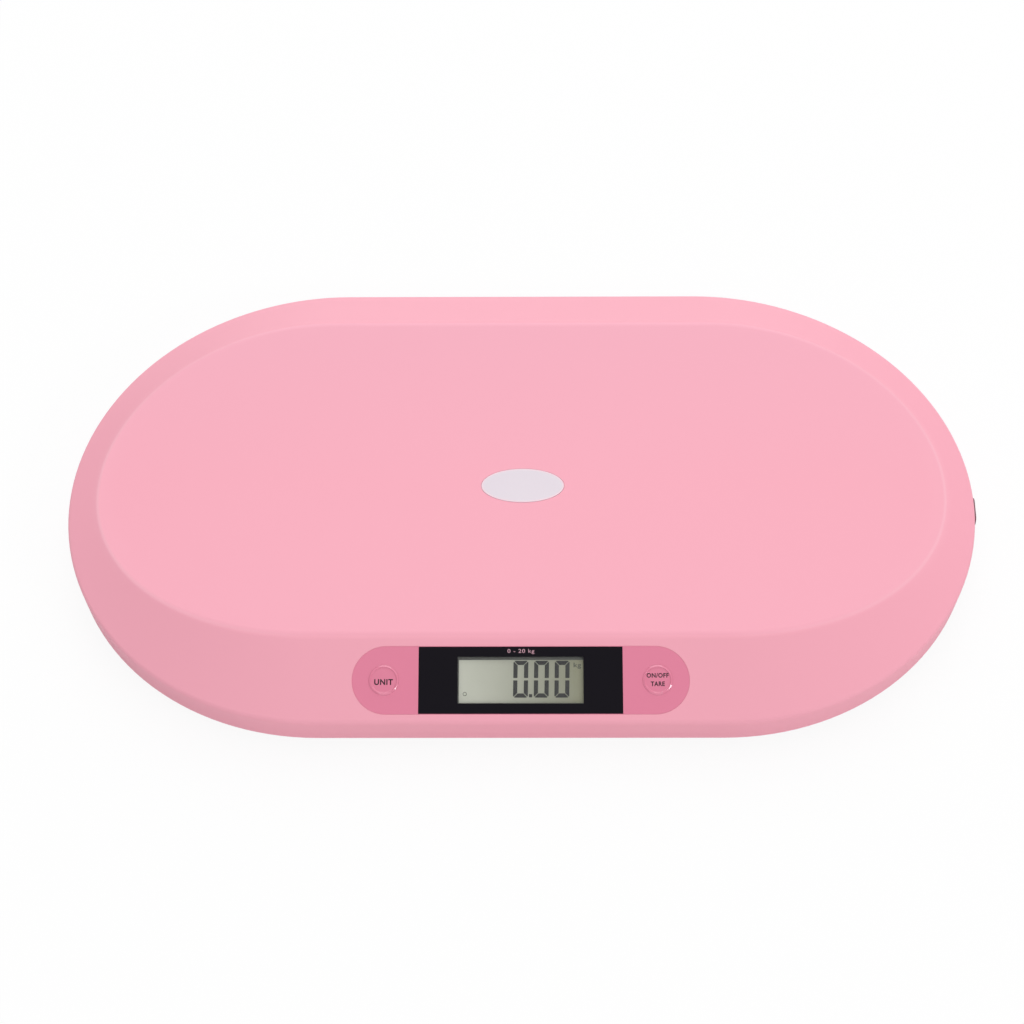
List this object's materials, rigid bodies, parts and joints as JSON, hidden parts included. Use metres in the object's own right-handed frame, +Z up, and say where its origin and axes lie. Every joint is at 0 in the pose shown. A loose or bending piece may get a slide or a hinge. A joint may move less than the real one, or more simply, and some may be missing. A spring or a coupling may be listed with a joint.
{
  "type": "digital baby weighing scale",
  "caption": "Low stadium-shaped baby scale: a shallow tray with a sloping rim, a display and two push buttons in the front slope, load-cell feet and a pull-out tape.",
  "frame": {"origin": "middle of the footprint, on the floor that the feet stand on", "axes": "+X along the tray towards the tape's end, +Y towards the back, -Y is the front with the display, +Z up"},
  "size_m": [0.5513, 0.3298, 0.0483],
  "materials": {
    "pink_plastic": "satin moulded ABS, baby pink",
    "rose_panel": "smooth printed film over moulded plastic, dusty rose",
    "black_window": "smooth black printed window",
    "clear_lens": "clear flat acrylic",
    "display_glass": "grey-green reflective liquid crystal glass",
    "badge_plate": "plain pale satin plate",
    "white_plastic": "plain moulded ABS",
    "dark_plastic": "plain moulded ABS",
    "grey_rubber": "matt anti-slip rubber",
    "steel": "zinc-plated pressed steel",
    "spring_steel": "nickel-plated spring strip",
    "circuit_board": "green solder mask",
    "cell_jacket": "plain shrink-sleeved cell jacket",
    "tape": "white coated fibre tape with plain ticks",
    "plum_plastic": "dark plum moulded grip",
    "lead_sleeve": "PVC sleeved wires"
  },
  "bodies": {
    "root": {"top_shell": "pink_plastic", "base_shell": "pink_plastic", "badge_plate": "badge_plate", "control_panel": "rose_panel", "display_window": "black_window", "display_lens": "clear_lens", "lcd_glass": "display_glass", "lcd_holder": "white_plastic", "display_contact_strip": "grey_rubber", "main_board": "circuit_board", "controller_chip": "dark_plastic", "board_screw_left": "steel", "board_screw_right": "steel", "unit_switch": "dark_plastic", "power_tare_switch": "dark_plastic", "tape_case": "white_plastic", "tape_case_lid": "white_plastic", "tape_return_spring": "spring_steel", "battery_1": "cell_jacket", "battery_2": "cell_jacket", "battery_3": "cell_jacket", "battery_contact_left": "spring_steel", "battery_contact_right": "spring_steel", "cell_lead_front_left": "lead_sleeve", "cell_lead_front_right": "lead_sleeve", "cell_lead_back_left": "lead_sleeve", "cell_lead_back_right": "lead_sleeve", "battery_lead": "lead_sleeve", "load_cell_front_left": "steel", "cell_holder_front_left": "dark_plastic", "load_cell_front_right": "steel", "cell_holder_front_right": "dark_plastic", "load_cell_back_left": "steel", "cell_holder_back_left": "dark_plastic", "load_cell_back_right": "steel", "cell_holder_back_right": "dark_plastic", "case_screw_front_left": "steel", "case_screw_front_right": "steel", "case_screw_back_left": "steel", "case_screw_back_right": "steel", "case_screw_left_front": "steel", "case_screw_left_back": "steel", "case_screw_right_front": "steel", "case_screw_right_back": "steel"},
    "unit_button": {"unit_button": "rose_panel"},
    "power_tare_button": {"power_tare_button": "rose_panel"},
    "battery_door": {"battery_door": "pink_plastic"},
    "tape_pull": {"tape_tab": "plum_plastic", "tape_lead": "tape"},
    "tape_reel": {"tape_spool": "dark_plastic", "tape_roll": "tape"},
    "foot_front_left": {"foot_pad_front_left": "grey_rubber", "foot_cap_front_left": "white_plastic"},
    "foot_front_right": {"foot_pad_front_right": "grey_rubber", "foot_cap_front_right": "white_plastic"},
    "foot_back_left": {"foot_pad_back_left": "grey_rubber", "foot_cap_back_left": "white_plastic"},
    "foot_back_right": {"foot_pad_back_right": "grey_rubber", "foot_cap_back_right": "white_plastic"}
  },
  "joints": [
    {"name": "unit_press", "type": "slide", "parent": "root", "child": "unit_button", "axis": [0, 0.4295, -0.9031], "range_m": [0, 0.0005], "stiffness_N_per_m": 200, "springref_m": -0.006},
    {"name": "power_tare_press", "type": "slide", "parent": "root", "child": "power_tare_button", "axis": [0, 0.4295, -0.9031], "range_m": [0, 0.0005], "stiffness_N_per_m": 200, "springref_m": -0.006},
    {"name": "battery_door_swing", "type": "hinge", "parent": "root", "child": "battery_door", "pos_m": [0, 0.0211, 0.0121], "axis": [1, 0, 0], "range_deg": [0, 90]},
    {"name": "tape_pull_out", "type": "slide", "parent": "root", "child": "tape_pull", "axis": [1, 0, 0], "range_m": [0, 0.06], "stiffness_N_per_m": 5, "springref_m": -0.15},
    {"name": "tape_reel_turn", "type": "hinge", "parent": "root", "child": "tape_reel", "pos_m": [0.197, -0.02763, 0.0199], "axis": [0, 0, 1], "range_deg": [-230, 0]},
    {"name": "foot_press_front_left", "type": "slide", "parent": "root", "child": "foot_front_left", "axis": [0, 0, 1], "range_m": [0, 0.0002], "stiffness_N_per_m": 3000},
    {"name": "foot_press_front_right", "type": "slide", "parent": "root", "child": "foot_front_right", "axis": [0, 0, 1], "range_m": [0, 0.0002], "stiffness_N_per_m": 3000},
    {"name": "foot_press_back_left", "type": "slide", "parent": "root", "child": "foot_back_left", "axis": [0, 0, 1], "range_m": [0, 0.0002], "stiffness_N_per_m": 3000},
    {"name": "foot_press_back_right", "type": "slide", "parent": "root", "child": "foot_back_right", "axis": [0, 0, 1], "range_m": [0, 0.0002], "stiffness_N_per_m": 3000}
  ],
  "couplings": [
    {"joint": "tape_reel_turn", "follows": "tape_pull_out", "rad_per_m": -66.114}
  ]
}
